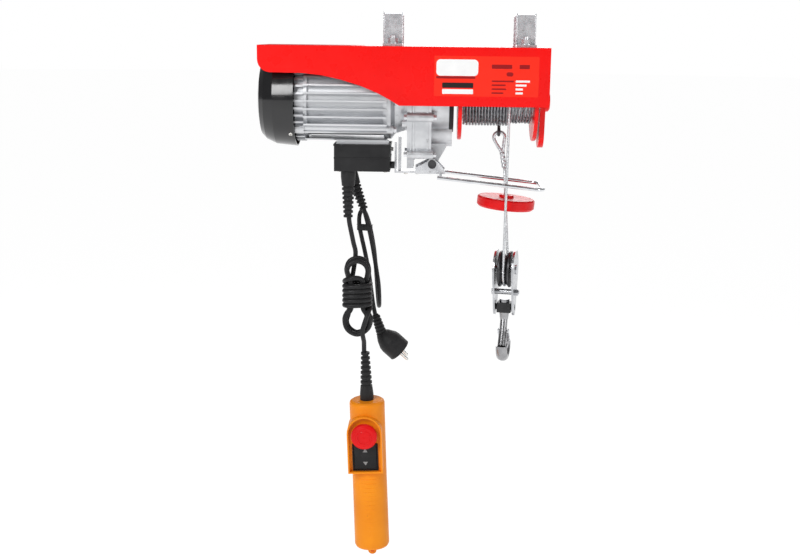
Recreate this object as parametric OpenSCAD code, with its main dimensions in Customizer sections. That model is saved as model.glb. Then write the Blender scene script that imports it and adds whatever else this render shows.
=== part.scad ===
// Electric wire rope hoist: a red sheet-steel housing hung on two straps, with
// a geared brake motor, a rope drum, a two-fall hook block and a hand control.
// +X runs along the drum towards its free end, -Y faces the operator, +Z is up.
// The origin is the middle of the saddle under the tops of the two straps.

/* [Housing] */
// Left end of the housing, measured from the origin
housing_left = 301; // [296:1:312]
// Right end of the housing, measured from the origin
housing_right = 135; // [134:1:140]
// Depth of the housing from front panel to back panel
housing_depth = 142; // [141:1:146]
// Thickness of the steel sheet
sheet = 2; // [1.5:0.1:2.5]

/* [Hanger straps] */
// Width of each strap along the beam
strap_w = 30; // [26:1:36]
// Thickness of the strap steel
strap_t = 4; // [3:0.5:4]
// Clear gap between a strap's two legs
saddle_w = 50; // [48:1:52]
// Clear height under a strap
saddle_h = 46; // [44:1:46]
// Distance between the two straps
strap_spacing = 200; // [190:1:204]

/* [Motor] */
// Radius of the motor's fins
fin_r = 64; // [62:0.5:65]
// Number of fins on each side, counted from the middle
fin_half = 5; // [4:1:5]
// Pitch of the fins
fin_pitch = 12; // [11:0.5:12]
// Radius of the rotor
rotor_r = 27; // [24:0.5:28]

/* [Gears] */
// Module of the spur gears
gear_m = 1.25; // [1.25:0.05:1.25]
// Teeth on both pinions
pinion_teeth = 12; // [12:1:12]
// Teeth on both wheels
wheel_teeth = 60; // [60:1:60]

/* [Drum and rope] */
// Diameter of the steel rope
rope_d = 4.2; // [3.8:0.1:4.4]
// Outer radius of the wound rope
winding_r = 38.5; // [37:0.5:38.5]
// Radius of the drum's flanges
flange_r = 60; // [56:1:62]
// Diameter of the cast stop disc on the standing fall
disc_d = 92; // [88:1:94]

/* [Hook block] */
// Turn of the block about its upright axis
block_yaw = 12; // [0:1:14]
// Radius of the rope's centreline on the sheave
sheave_pitch_r = 26; // [25.5:0.1:26]
// Mean radius of the hook's bow
hook_bow = 19; // [18:0.5:20]

/* [Hand control] */
// Diameter of the handset's grip
grip_d = 57; // [54:0.5:58]
// Length of the handset's shell
grip_l = 252; // [246:1:256]
// Lean of the hanging handset
grip_lean = 2.3; // [0:0.1:3]
// Diameter of the pendant cable
pendant_d = 7.5; // [7:0.5:8]
// Diameter of the mains lead
mains_d = 7; // [6.5:0.5:7]

/* [Hidden] */
$fn = 64;
HULL_FN = 32;
FIT = 0.05;      // running clearance of shafts and pins, on the radius
GAP = 0.3;       // gap between curved faces that don't run on each other
FOOT_GAP = 0.5;  // gap between a fall's foot and the half turn on the sheave
axis_z = -128;   // height of the motor and drum axis
gear_centres = gear_m * (pinion_teeth + wheel_teeth) / 2;
lay_z = axis_z - gear_centres;
half_depth = housing_depth / 2;
roof_z = -saddle_h;
rope_r = rope_d / 2;

// Stations along X
fan_x = -306;
shield_x = -248;
body_x = -234;
bell_x = -108;
box_x = -77;
cover_x = -45;
cover_end = -7;
drum_x = 0;
case_bolts = [[-46, -100], [46, -100], [-52, -151], [52, -151], [-33, -209], [33, -209]];
drum_end = 121;
flange_t = 6;

// Standing rope and falls
front_x = 78;
anchor_x = 67.5;
anchor_y = 43;
anchor_top = -62;  // height of the cross pin between the side panels
eye_z = -187.8;    // height of the thimble's middle
eye_end = [78, 39.5, -236];
block_x = 82;
block_z = -393;
front_foot = [block_x - sheave_pitch_r * sin(block_yaw),
              -sheave_pitch_r * cos(block_yaw), block_z + FOOT_GAP];
back_foot = [block_x + sheave_pitch_r * sin(block_yaw),
             sheave_pitch_r * cos(block_yaw), block_z + FOOT_GAP];
disc_z = -291;
disc_t = 17;
disc_tilt = 5;
disc_at = eye_end + (back_foot - eye_end) * (eye_end[2] - disc_z) / (eye_end[2] - block_z);

// Stations of the hook block below its sheave, and the latch's pin
cross_z = -62;
bow_z = -125;
latch_y = -3;
latch_z = -101;
latch_r = 2;

// Limit lever
lever_pin = [-38, 0, -225];
lever_t = 3;
lever_arm_x = -96.5;
lever_foot_z = -240;
lever_foot = [-64, -18];  // ends of the wide foot along X
lever_w = 48;
lever_lean = 6;
loop_at = [-30, 0, -243];
loop_front = -46;
loop_back = 46;
loop_l = 165;
loop_corner = 14;
loop_r = 3;
plunger_z = -204;

// Terminal box and cable entries
box_y = -5;
box_w = 86;
box_mid = -146;
box_top = -197;
box_h = 39;
pendant_x = -168;
pendant_y = -25;
mains_y = 12;
mains_lean = 20;
entry_z = box_top - box_h;

// Handset
grip_top = [-137, -25, -607];
switch_x = -4;
stop_z = -49;
rocker_z = -87.5;
hank_mid = [-153, -25, -435];
hank_h = 138;
hank_w = 50;
hank_t = 38;

// Routes of the free cords, chosen by hand
pendant_top_route = [[-167, -25, -308], [-166, -25, -318], [-163, -22, -335],
                     [-160, -17, -352], [-157, -13, -368]];
pendant_end_route = [[-144, -39, -492], [-143, -36, -501], [-142, -31, -509],
                     [-142, -27, -518], [-142, -25, -528]];
mains_route = [[-146, 12, -300], [-143, 12, -311], [-138, 11, -330], [-133, 10, -352],
               [-128.5, 9, -376], [-124.5, 8, -400], [-121, 8, -424], [-120, 13, -446],
               [-120.5, 27, -462], [-122, 43, -466], [-124, 58, -457], [-126, 65, -438],
               [-128, 66, -412], [-131, 66, -380], [-136, 66, -350], [-141, 63, -329],
               [-146, 52, -313], [-150, 38, -308], [-153, 25, -313], [-153, 16, -328],
               [-149, 12, -347], [-144, 10, -368], [-139, 9, -392], [-135, 9, -418],
               [-132, 10, -440], [-129.5, 10.5, -458], [-126, 11, -476]];
plug_at = [-126, 11, -475];
plug_neck = 36;
plug_ribs = 6;
plug_turn = [8, -18, 0];

// ---- shared shapes -------------------------------------------------------

// Children are drawn in the plane across X and extruded towards +X
module along_x(x, y = 0, z = axis_z) {
    translate([x, y, z]) rotate([90, 0, 90]) children();
}

module rod_x(x, r, l, y = 0, z = axis_z) {
    along_x(x, y, z) cylinder(r = r, h = l);
}

module rod_y(x, y, z, r, l) {
    translate([x, y, z]) rotate([-90, 0, 0]) cylinder(r = r, h = l);
}

module ring_x(x, r_out, r_in, l, y = 0, z = axis_z) {
    difference() {
        rod_x(x, r_out, l, y, z);
        rod_x(x - 1, r_in, l + 2, y, z);
    }
}

module hex(af, h) {
    cylinder(d = af / cos(30), h = h, $fn = 6);
}

// A solid of revolution about X from [x, r] pairs
module turned_x(profile, z = axis_z) {
    translate([0, 0, z]) rotate([0, 90, 0])
        rotate_extrude() polygon([for (p = profile) [p[1], p[0]]]);
}

function unit(v) = v / norm(v);

// Directions along a route and a frame carried along it without twist
function heading(p, i) = unit(p[min(i + 1, len(p) - 1)] - p[max(i - 1, 0)]);
function flatten_to(v, d) = unit(v - (v * d) * d);
function sides_of(p, i = 0, v = [0, 1, 0], out = []) =
    i == len(p) ? out
    : let (s = flatten_to(v, heading(p, i))) sides_of(p, i + 1, s, concat(out, [s]));

// Round tube swept along a route
module tube(p, d, sides = 8) {
    s = sides_of(p);
    rings = [for (i = [0:len(p) - 1]) for (k = [0:sides - 1])
        p[i] + d / 2 * (cos(360 * k / sides) * s[i]
        + sin(360 * k / sides) * cross(heading(p, i), s[i]))];
    last = (len(p) - 1) * sides;
    polyhedron(rings, concat(
        [[for (k = [0:sides - 1]) k]],
        [for (i = [0:len(p) - 2]) for (k = [0:sides - 1])
            [i * sides + k, (i + 1) * sides + k,
             (i + 1) * sides + (k + 1) % sides, i * sides + (k + 1) % sides]],
        [[for (k = [0:sides - 1]) last + sides - 1 - k]]));
}

// Straight round bar between two points
module bar(a, b, r) {
    d = b - a;
    translate(a) rotate([0, acos(d[2] / norm(d)), atan2(d[1], d[0])])
        cylinder(r = r, h = norm(d));
}

// Involute tooth: half of its angle at a radius, thinned for running play
function involute(a) = tan(a) * 180 / PI - a;
function half_tooth(rho, teeth) =
    let (r = gear_m * teeth / 2, base = r * cos(20), play = 0.12)
    90 / teeth + involute(20) - involute(acos(min(1, base / rho))) - play / rho * 180 / PI;

module gear_outline(teeth, turn) {
    r = gear_m * teeth / 2;
    base = max(r * cos(20), r - 1.25 * gear_m);
    tip = r + 0.8 * gear_m;
    root = r - 1.25 * gear_m;
    // Radius, side of the tooth, and the radius whose tooth width applies there
    flank = [[root, -1, base], [base, -1, base], [r, -1, r], [tip, -1, tip],
             [tip, 1, tip], [r, 1, r], [base, 1, base], [root, 1, base]];
    rotate(turn) polygon([for (i = [0:teeth - 1]) for (q = flank)
        let (a = 360 * i / teeth + q[1] * half_tooth(q[2], teeth))
        q[0] * [cos(a), sin(a)]]);
}

// ---- housing and hangers -------------------------------------------------

// Front outline of a side panel, seen from the operator's side
module panel_outline() {
    top = roof_z;
    polygon(concat(
        [[-housing_left, top], [-housing_left, top - 21]],
        [for (a = [180:15:270]) [-housing_left + 19 + 19 * cos(a), top - 21 + 19 * sin(a)]],
        [[-234, -86.5], [-205, -89.5], [-177, -95.5], [-148, -104], [-121, -115],
         [-103, -124.5], [-89, -133], [housing_right, -133], [housing_right, top]]));
}

module housing() {
    color("red") difference() {
        union() {
            for (y = [-half_depth, half_depth - sheet])
                translate([0, y + sheet, 0]) rotate([90, 0, 0])
                    linear_extrude(sheet) panel_outline();
            translate([-housing_left, -half_depth, roof_z - sheet])
                cube([housing_left + housing_right, housing_depth, sheet]);
            translate([housing_right - sheet, -half_depth, -133])
                cube([sheet, housing_depth, 133 + roof_z]);
        }
        rod_x(housing_right - 3, 12, 6);
        for (x = [-1, 1]) for (y = [-1, 1])
            translate([x * strap_spacing / 2, y * bolt_y(), roof_z - 5])
                cylinder(r = 4.2, h = 10);
    }
}

function bolt_y() = saddle_w / 2 + strap_t + 10;

// One strap: a saddle over the beam with two outward feet
module hanger(x) {
    leg = saddle_w / 2;
    out = leg + strap_t;
    toe = out + 22;
    // Half of the strap's section, from the saddle's middle to the toe
    half = [[0, strap_t], [out - 2, strap_t], [out, strap_t - 2], [out, roof_z + strap_t],
            [toe, roof_z + strap_t], [toe, roof_z], [leg, roof_z], [leg, 0], [0, 0]];
    color("silver") translate([x, 0, 0]) difference() {
        for (s = [0, 1]) mirror([0, s, 0]) translate([-strap_w / 2, 0, 0])
            rotate([90, 0, 90]) linear_extrude(strap_w) polygon(half);
        for (y = [-1, 1]) translate([0, y * bolt_y(), roof_z - 1])
            cylinder(r = 4.2, h = strap_t + 2);
    }
}

module hanger_bolts() {
    color("gainsboro") for (x = [-1, 1]) for (y = [-1, 1])
        translate([x * strap_spacing / 2, y * bolt_y(), roof_z]) {
            translate([0, 0, -sheet - 5.3]) hex(13, 5.3);
            translate([0, 0, -sheet - 1]) cylinder(r = 4, h = sheet + strap_t + 13);
            translate([0, 0, strap_t]) cylinder(r = 8.5, h = 1.4);
            translate([0, 0, strap_t + 1.4]) hex(13, 6.5);
        }
}

// Pressed bracket that carries the drum's free end
module end_bracket() {
    color("firebrick") difference() {
        union() {
            translate([housing_right - sheet - 8, 0, 0]) rotate([90, 0, 90])
                linear_extrude(4) bracket_outline(0);
            translate([housing_right - sheet - 8, 0, 0]) rotate([90, 0, 90])
                linear_extrude(8) difference() {
                    bracket_outline(0);
                    bracket_outline(4);
                }
            rod_x(housing_right - sheet - 8, 17, 8);
        }
        rod_x(housing_right - 20, 13 + FIT, 40);
    }
}

module bracket_outline(inset) {
    hull() {
        translate([0, -199 + 28]) circle(r = 28 - inset, $fn = HULL_FN);
        for (s = [-1, 1]) translate([s * 40, -62]) circle(r = 6 - inset, $fn = HULL_FN);
    }
}

module bearing_cap() {
    color("crimson") turned_x([[housing_right, 0], [housing_right, 16],
        [housing_right + 5, 15], [housing_right + 7, 12], [housing_right + 7.5, 0]]);
}

// ---- motor ---------------------------------------------------------------

module fan_cover() {
    color("#151515") difference() {
        turned_x([[fan_x, 0], [fan_x + 1, 42], [fan_x + 4, 56], [fan_x + 11, 63],
            [fan_x + 26, 70], [shield_x, 73], [shield_x, 71], [fan_x + 26, 68],
            [fan_x + 12, 61], [fan_x + 6, 54.5], [fan_x + 3.5, 41], [fan_x + 3, 0]]);
        // Radial air slots in the end
        for (k = [0:15]) translate([0, 0, axis_z]) rotate([22.5 * k, 0, 0])
            translate([fan_x - 1, -2, 16]) cube([6, 4, 24]);
    }
}

module rear_shield() {
    color("gainsboro") along_x(shield_x) linear_extrude(body_x - shield_x) difference() {
        union() {
            circle(r = 57);
            for (k = [0:35]) rotate(10 * k) translate([50, -1.6]) square([15, 3.2]);
            for (a = [45:90:315]) rotate(a) translate([60, 0]) circle(r = 8);
        }
        circle(r = 16 + FIT);
        for (a = [45:90:315]) rotate(a) translate([61, 0]) circle(r = 2.8);
    }
}

module motor_body() {
    len = bell_x - body_x;
    color("lightgray") along_x(body_x) difference() {
        union() {
            linear_extrude(len) difference() {
                union() {
                    circle(r = 55);
                    intersection() {
                        circle(r = fin_r + 3);
                        square([2 * fin_r, 2 * fin_r], center = true);
                        for (k = [-fin_half:fin_half]) translate([0, k * fin_pitch])
                            square([2 * fin_r, 2.6], center = true);
                    }
                }
                circle(r = 50);
            }
            for (h = [0, len - 5]) translate([0, 0, h]) linear_extrude(5) difference() {
                circle(r = 60);
                circle(r = 50);
            }
            for (a = [45:90:315]) rotate(a) translate([59, 0, 0])
                cylinder(r = 6, h = len);
        }
        translate([0, 0, -1]) cylinder(r = 50, h = len + 2);
        for (a = [45:90:315]) rotate(a) translate([61, 0, -1]) cylinder(r = 2.8, h = len + 2);
    }
}

module front_bell() {
    color("silver") difference() {
        union() {
            // Web with the bearing's hub, and the skirt that meets the gearbox
            turned_x([[bell_x, 15], [bell_x, 60], [bell_x + 6, 60], [bell_x + 12, 52],
                [box_x - 4, 47], [box_x, 47], [box_x, 42], [bell_x + 6, 44],
                [bell_x + 6, 22], [bell_x + 20, 22], [bell_x + 20, 15]]);
            for (a = [45:90:315]) translate([0, 0, axis_z]) rotate([a, 0, 0])
                translate([bell_x, 0, 61]) rotate([0, 90, 0]) cylinder(r = 7, h = 10);
            // Lugs that stand against the gearbox
            for (a = [45:90:315]) translate([0, 0, axis_z]) rotate([a, 0, 0])
                translate([box_x - 8, 0, 48]) rotate([0, 90, 0]) cylinder(r = 7, h = 8);
        }
        rod_x(bell_x - 1, 15 + FIT, 60);
        for (a = [45:90:315]) translate([0, 0, axis_z]) rotate([a, 0, 0])
            translate([bell_x - 1, 0, 61]) rotate([0, 90, 0]) cylinder(r = 2.8, h = 12);
    }
}

module stator_core() {
    color("dimgray") along_x(-216) linear_extrude(84) difference() {
        circle(r = 50 - GAP);
        circle(r = rotor_r + 0.6);
        for (k = [0:23]) rotate(15 * k) translate([rotor_r + 2, -1.8]) square([12, 3.6]);
    }
}

module stator_windings() {
    color("#b8632a") for (x = [-216 - 14, -216 + 84])
        turned_x([[x, 32], [x + 4, 30], [x + 14, 30], [x + 14, 41], [x + 4, 44], [x, 40]]);
}

module rotor() {
    color("darkgray") {
        turned_x([[-296, 0], [-296, 5], [-262, 5], [-262, 6], [-240, 6], [-240, 8],
            [-214, 8], [-214, rotor_r], [-134, rotor_r], [-134, 8], [-108, 8],
            [-108, 7], [-78, 7], [-78, 5.2], [-74, 5.2], [-74, 0]]);
        along_x(-74) linear_extrude(20) gear_outline(pinion_teeth, 0);
    }
}

module fan() {
    color("#1d1d1d") {
        difference() {
            rod_x(-292, 12, 22);
            rod_x(-293, 5 + 0.02, 24);
        }
        for (k = [0:6]) translate([0, 0, axis_z]) rotate([360 / 7 * k, 0, 0])
            translate([-290, -1.2, 10]) cube([18, 2.4, 38]);
        ring_x(-272, 48, 11, 2.4);
    }
}

module motor_bearings() {
    color("silver") {
        ring_x(-252, 16, 6 + FIT, 10);
        ring_x(-100, 15, 7 + FIT, 11);
    }
}

module tie_bolts() {
    color("gainsboro") for (a = [45:90:315])
        translate([0, 0, axis_z]) rotate([a, 0, 0]) {
            translate([shield_x - 5, 0, 61]) rotate([0, 90, 0]) hex(8, 5);
            translate([shield_x - 1, 0, 61]) rotate([0, 90, 0])
                cylinder(r = 2.5, h = bell_x + 10 - shield_x + 1);
            translate([bell_x + 10, 0, 61]) rotate([0, 90, 0]) hex(8, 5);
        }
}

// ---- gearbox -------------------------------------------------------------

module casing_outline(inset) {
    hull() {
        circle(r = 54 - inset, $fn = 64);
        translate([0, lay_z - axis_z]) circle(r = 46 - inset, $fn = 64);
    }
}

// Motor-side half: a dished casting with a foot that hangs below it
module gearbox_housing() {
    color("silver") difference() {
        union() {
            along_x(box_x) linear_extrude(cover_x - box_x) casing_outline(0);
            translate([box_x, -30, -231]) cube([10, 60, 40]);
            for (q = case_bolts)
                along_x(box_x, q[0], q[1]) cylinder(r = 7, h = cover_x - box_x);
        }
        along_x(box_x + 5) linear_extrude(cover_x - box_x) casing_outline(5);
        rod_x(box_x - 5, 12, 20);
        rod_x(box_x - 5, 9 + FIT, 20, 0, lay_z);
        for (q = case_bolts)
            along_x(box_x - 1, q[0], q[1]) cylinder(r = 3.2, h = 40);
    }
}

// Drum-side half: the round bay of the output wheel and the lever's lug
module gear_cover() {
    color("lightgray") difference() {
        union() {
            along_x(cover_x) linear_extrude(5) casing_outline(0);
            rod_x(cover_x, 47.5, cover_end - cover_x);
            rod_x(cover_x, 23, cover_end - cover_x - 1, 0, lay_z - 3);
            for (q = case_bolts)
                along_x(cover_x, q[0], q[1]) cylinder(r = 7, h = 8);
            lever_lug();
        }
        rod_x(cover_x - 1, 41.5, cover_end - cover_x - 5);
        rod_x(cover_x - 1, 13, cover_end - cover_x - 12, 0, lay_z);
        rod_x(cover_x - 5, 9 + FIT, cover_end - cover_x + 1, 0, lay_z);
        rod_x(cover_x - 5, 14 + FIT, 60);
        for (q = case_bolts)
            along_x(cover_x - 1, q[0], q[1]) cylinder(r = 3.2, h = 40);
        rod_y(lever_pin[0], -30, lever_pin[2], 5, 60);
    }
}

module lever_lug() {
    translate([0, 14, 0]) rotate([90, 0, 0]) linear_extrude(28)
        polygon([[cover_x, -160], [-12, -176], [-17, -200], [lever_pin[0] + 9, -221],
            [lever_pin[0] + 8, lever_pin[2] - 6], [lever_pin[0] + 3, lever_pin[2] - 9],
            [lever_pin[0] - 4, lever_pin[2] - 9], [cover_x, lever_pin[2] - 5]]);
}

module gear_bearings() {
    color("silver") {
        ring_x(box_x + GAP, 9, 5 + FIT, 5, 0, lay_z);
        ring_x(cover_end - 11, 9, 5 + FIT, 6, 0, lay_z);
        ring_x(cover_end - 7, 14, 8 + FIT, 7);
        ring_x(housing_right - sheet - 8, 13, 7 + FIT, 8);
    }
}

module layshaft() {
    color("darkgray") {
        rod_x(box_x + 1, 5, 64, 0, lay_z);
        along_x(cover_x + 6, 0, lay_z) linear_extrude(20) gear_outline(pinion_teeth, 0);
    }
}

module first_wheel() {
    color("#8a7a4e") along_x(box_x + 8, 0, lay_z) linear_extrude(14) difference() {
        gear_outline(wheel_teeth, 180 / wheel_teeth);
        circle(r = 5.02);
        for (k = [0:5]) rotate(60 * k) translate([21, 0]) circle(r = 7);
    }
}

module output_wheel() {
    color("#8a7a4e") along_x(cover_x + 8) linear_extrude(15) difference() {
        gear_outline(wheel_teeth, 180 / wheel_teeth);
        circle(r = 8.02);
        for (k = [0:5]) rotate(60 * k) translate([23, 0]) circle(r = 7);
    }
}

module gearbox_bolts() {
    color("gainsboro") for (q = case_bolts) {
        along_x(box_x - 5, q[0], q[1]) hex(8, 5);
        along_x(box_x - 1, q[0], q[1]) cylinder(r = 2.9, h = 42);
        along_x(cover_x + 8, q[0], q[1]) hex(8, 5);
    }
}

// ---- drum ----------------------------------------------------------------

module drum_shaft() {
    color("silver") turned_x([[cover_x + 6, 0], [cover_x + 6, 8], [cover_end + 2, 8],
        [cover_end + 2, 9], [drum_end + 1, 9], [drum_end + 1, 7],
        [housing_right - 1, 7], [housing_right - 1, 0]]);
}

module drum_barrel() {
    a = drum_x + flange_t;
    b = drum_end - flange_t;
    color("gray") turned_x([[a, 9.02], [a, 30], [b, 30], [b, 9.02], [b - 8, 9.02],
        [b - 8, 25], [a + 8, 25], [a + 8, 9.02]]);
}

// The two flanges: the inner one plain, the free end's one with a rope hole
module drum_flanges() {
    color("red") {
        turned_x([[drum_x, 9.02], [drum_x, flange_r - 1], [drum_x + 1, flange_r],
            [drum_x + flange_t - 1, flange_r], [drum_x + flange_t, flange_r - 1],
            [drum_x + flange_t, 9.02]]);
        difference() {
            turned_x([[drum_end - flange_t, 9.02], [drum_end - flange_t, flange_r],
                [drum_end - flange_t + 1, flange_r + 1], [drum_end - 1, flange_r + 1],
                [drum_end, flange_r], [drum_end, 9.02]]);
            rod_x(drum_end - flange_t - 1, 3, 10, 0, axis_z + 46);
        }
    }
}

// The wound rope, full radius for most of the drum and thinner at its free end
module rope_winding() {
    color("dimgray") turned_x([[drum_x + flange_t + GAP, 30 + GAP],
        [drum_x + flange_t + GAP, winding_r], [86, winding_r], [88, winding_r - 3],
        [drum_end - 12, winding_r - 3], [drum_end - 10, winding_r],
        [drum_end - flange_t - GAP, winding_r], [drum_end - flange_t - GAP, 30 + GAP]]);
}

// ---- terminal box --------------------------------------------------------

module box_pedestal() {
    color("gainsboro") difference() {
        translate([box_mid - 40, box_y - 25, box_top]) cube([80, 50, 60]);
        rod_x(box_mid - 60, fin_r + 3 + GAP, 120);
        translate([box_mid - 36, box_y - 21, box_top - 1]) cube([72, 42, 62]);
        for (a = [225, 315]) translate([0, 0, axis_z]) rotate([a, 0, 0])
            translate([box_mid - 60, 0, 61]) rotate([0, 90, 0]) cylinder(r = 8, h = 120);
    }
}

module terminal_box() {
    color("#202020") difference() {
        translate([box_mid - box_w / 2, box_y - 35, box_top - box_h])
            cube([box_w, 70, box_h]);
        translate([box_mid - box_w / 2 + 2.5, box_y - 32.5, box_top - box_h + 2.5])
            cube([box_w - 5, 65, box_h]);
        translate([pendant_x, pendant_y, entry_z - 1]) cylinder(r = 8.3, h = 5);
        translate([pendant_x, mains_y, entry_z - 1]) cylinder(r = 8.3, h = 5);
        rod_x(box_mid + 30, 4.2, 20, box_y, plunger_z);
    }
    // Knob that holds the box shut
    color("#101010") rod_x(box_mid + box_w / 2, 5.5, 7, -30, -226);
}

module terminal_lid() {
    color("#181818") difference() {
        translate([box_mid - box_w / 2 - 1, box_y - 36, box_top])
            cube([box_w + 2, 72, 2.5]);
        translate([box_mid - 43, box_y - 25.2, box_top - 1]) cube([86, 50.4, 5]);
    }
}

module capacitor() {
    color("white") rod_x(box_mid - 34, 11, 42, box_y - 12, -217);
}

module limit_switch() {
    color("#303030") difference() {
        translate([box_mid + 14, box_y - 10, -214]) cube([20, 20, 15]);
        rod_x(box_mid + 22, 3.2, 20, box_y, plunger_z);
    }
}

module switch_plunger() {
    color("ivory") rod_x(box_mid + 26, 3.1, 21.2, box_y, plunger_z);
}

// ---- limit lever ---------------------------------------------------------

// Bottom strip with a wide foot under the pin, and the two leaves beside the box
module lever_strap() {
    side = lever_w / 2;
    foot_l = lever_foot[1] - lever_foot[0];
    color("silver") difference() {
        union() {
            translate([lever_arm_x, -14, lever_foot_z]) cube([lever_t, 28, 48]);
            translate([lever_arm_x, -14, lever_foot_z])
                cube([lever_foot[1] - lever_arm_x, 28, lever_t]);
            translate([lever_arm_x + 5.5, -7, lever_foot_z]) cube([4.5, 14, 56]);
            translate([lever_foot[0], -side, lever_foot_z]) cube([foot_l, lever_w, lever_t]);
            for (y = [-side, side - lever_t]) translate([0, y + lever_t, 0]) rotate([90, 0, 0])
                linear_extrude(lever_t) lever_ear();
        }
        rod_y(lever_pin[0], -40, lever_pin[2], 5, 80);
    }
}

module lever_ear() {
    polygon([[lever_foot[0], lever_foot_z], [lever_foot[1], lever_foot_z],
        [lever_foot[1], lever_foot_z + 5], [lever_pin[0] + 8, lever_pin[2] + 3],
        [lever_pin[0] + 4, lever_pin[2] + 8], [lever_pin[0] - 4, lever_pin[2] + 8],
        [lever_pin[0] - 9, lever_pin[2] + 3], [lever_foot[0], lever_foot_z + 9]]);
}

// Wire loop that surrounds both falls and rests above the stop disc
module lever_loop() {
    run = loop_l - loop_corner;
    color("lightgray") translate(loop_at) rotate([0, lever_lean, 0]) {
        for (y = [loop_front, loop_back]) translate([0, y, 0]) rotate([0, 90, 0])
            cylinder(r = loop_r, h = run);
        translate([run, loop_back - loop_corner, 0]) loop_bend();
        translate([run, loop_front + loop_corner, 0]) mirror([0, 1, 0]) loop_bend();
        loop_bar(loop_l, loop_corner);
        loop_bar(2 * loop_r, 0);
    }
}

// One crosswise rod of the loop, short of each side by the given inset
module loop_bar(x, inset) {
    translate([x, loop_front + inset, 0]) rotate([-90, 0, 0])
        cylinder(r = loop_r, h = loop_back - loop_front - 2 * inset);
}

module loop_bend() {
    rotate_extrude(angle = 90) translate([loop_corner, 0]) circle(r = loop_r);
}

module lever_pivot() {
    color("#222222") {
        rod_y(lever_pin[0], -24, lever_pin[2], 5 - FIT, 48);
        for (y = [-29, 24]) translate([lever_pin[0], y, lever_pin[2]]) rotate([-90, 0, 0])
            cylinder(r = 6.5, h = 5);
    }
}

// ---- rope, anchor and stop disc ------------------------------------------

module anchor_rod() {
    color("#505050") {
        // Cross pin between the side panels, and the eye bolt that hangs from it
        rod_y(anchor_x, -half_depth + sheet, anchor_top, 4, housing_depth - 2 * sheet);
        translate([anchor_x, anchor_y, eye_z + 14.8])
            cylinder(r = 2.5, h = anchor_top - eye_z - 14.8);
        translate([anchor_x, anchor_y, eye_z + 9.8]) rotate([0, 90, 0]) rotate_extrude()
            translate([6, 0]) circle(r = 2.4, $fn = 24);
    }
}

// Rope eye with its thimble and pressed ferrule
module rope_eye() {
    eye = [anchor_x + 1, anchor_y - 0.6, eye_z];
    neck = [74, 40.8, -215];
    color("darkgray") {
        translate(eye) rotate([90, 0, 0]) rotate_extrude()
            translate([9, 0]) circle(r = 2.6, $fn = 24);
        bar(eye + [-8.4, 0, -4.5], neck - [2.3, 0, 0], 2.2);
        bar(eye + [8.7, 0, -3.5], neck + [2.1, 0, 0], 2.2);
        bar(neck + [-0.8, 0, 4], eye_end, 4.2);
    }
}

module front_fall() {
    color("whitesmoke") bar(front_foot, [front_x, -winding_r - rope_r - GAP, axis_z + 2], rope_r);
}

module back_fall() {
    color("whitesmoke") bar(back_foot, eye_end, rope_r);
}

// The rope's half turn in the sheave's groove
module rope_turn() {
    color("whitesmoke") in_block() rotate([0, 90, 0]) rotate([0, 0, -90])
        rotate_extrude(angle = 180) translate([sheave_pitch_r, 0]) circle(r = rope_r);
}

module stop_disc() {
    r = disc_d / 2;
    color("red") translate(disc_at) rotate([0, disc_tilt, 0]) difference() {
        rotate_extrude() polygon([[0, -disc_t / 2 - 3], [11, -disc_t / 2 - 3],
            [12, -disc_t / 2], [r - 3, -disc_t / 2], [r, -disc_t / 2 + 3],
            [r, disc_t / 2 - 2], [r - 2, disc_t / 2], [12, disc_t / 2],
            [11, disc_t / 2 + 4], [0, disc_t / 2 + 4]]);
        cylinder(r = 5, h = 60, center = true);
    }
}

// ---- hook block ----------------------------------------------------------

module in_block() {
    translate([block_x, 0, block_z]) rotate([0, 0, -block_yaw]) children();
}

module block_cheeks() {
    color("gray") in_block() for (x = [-16.5, 13.5]) difference() {
        along_x(x, 0, 0) linear_extrude(3) difference() {
            hull() {
                circle(r = 31, $fn = 64);
                translate([0, cross_z]) circle(r = 13, $fn = 64);
            }
            circle(r = 5);
            translate([0, -37]) circle(r = 3);
            translate([0, cross_z]) circle(r = 5);
        }
    }
}

module block_bolts() {
    color("gainsboro") in_block() {
        // Sheave axle, fixed in the cheeks
        rod_x(-18.5, 5 - FIT, 37, 0, 0);
        along_x(-20.5, 0, 0) cylinder(r = 8, h = 4);
        along_x(16.5, 0, 0) cylinder(r = 8, h = 2);
        // Tie bolt with its spacer
        rod_x(-19, 2.9, 42, 0, -37);
        ring_x(-13.5, 4.6, 2.9, 27, 0, -37);
        along_x(-21, 0, -37) hex(10, 4.5);
        along_x(16.5, 0, -37) hex(10, 5);
    }
}

module sheave() {
    color("dimgray") in_block() difference() {
        turned_x([[-10, 5], [-10, 27], [-9, 29], [-6.5, 29], [-2.4, 24.2], [0, 23.4],
            [2.4, 24.2], [6.5, 29], [9, 29], [10, 27], [10, 5]], 0);
        for (k = [0:4]) rotate([72 * k, 0, 0]) translate([-15, 0, 15])
            rotate([0, 90, 0]) cylinder(r = 3, h = 30);
    }
}

module hook_crosshead() {
    color("#1c1c1c") in_block() difference() {
        union() {
            translate([-11, -9, cross_z - 8]) cube([22, 18, 16]);
            rod_x(-16, 5 - FIT, 32, 0, cross_z);
        }
        translate([0, 0, cross_z - 20]) cylinder(r = 5, h = 40);
    }
}

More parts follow.
